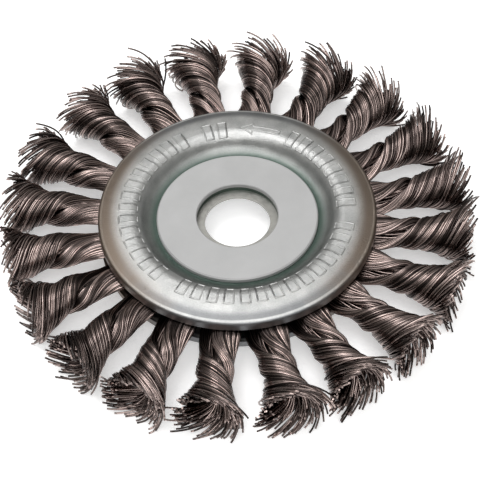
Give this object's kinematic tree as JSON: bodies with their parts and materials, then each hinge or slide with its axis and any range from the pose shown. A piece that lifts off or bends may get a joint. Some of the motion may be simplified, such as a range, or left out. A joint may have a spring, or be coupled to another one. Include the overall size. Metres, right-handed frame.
{
  "type": "twist-knot wire wheel",
  "caption": "Reversible wire wheel for an angle grinder: dished steel hub with a locating bore, gripping radial knots of left-hand twisted steel wire with splayed cut ends.",
  "frame": {"origin": "centre of the bore in the wheel's middle plane", "axes": "+Z along the bore axis, out of the upper face; +X and +Y in the wheel's plane, each halfway between two knots"},
  "size_m": [0.1292, 0.1292, 0.0184],
  "materials": {
    "satin_zinc": "matte zinc plating",
    "bright_zinc": "bright zinc plating over pressed sheet",
    "plain_steel": "satin plated sheet",
    "knot_wire": "hard drawn steel wire, dark brown-grey"
  },
  "bodies": {
    "root": {"hub_washer_top": "satin_zinc", "hub_washer_bottom": "satin_zinc", "face_plate_top": "bright_zinc", "face_plate_bottom": "bright_zinc", "core_disc": "plain_steel", "knot_01": "knot_wire", "knot_02": "knot_wire", "knot_03": "knot_wire", "knot_04": "knot_wire", "knot_05": "knot_wire", "knot_06": "knot_wire", "knot_07": "knot_wire", "knot_08": "knot_wire", "knot_09": "knot_wire", "knot_10": "knot_wire", "knot_11": "knot_wire", "knot_12": "knot_wire", "knot_13": "knot_wire", "knot_14": "knot_wire", "knot_15": "knot_wire", "knot_16": "knot_wire", "knot_17": "knot_wire", "knot_18": "knot_wire", "knot_19": "knot_wire", "knot_20": "knot_wire"}
  },
  "joints": []
}
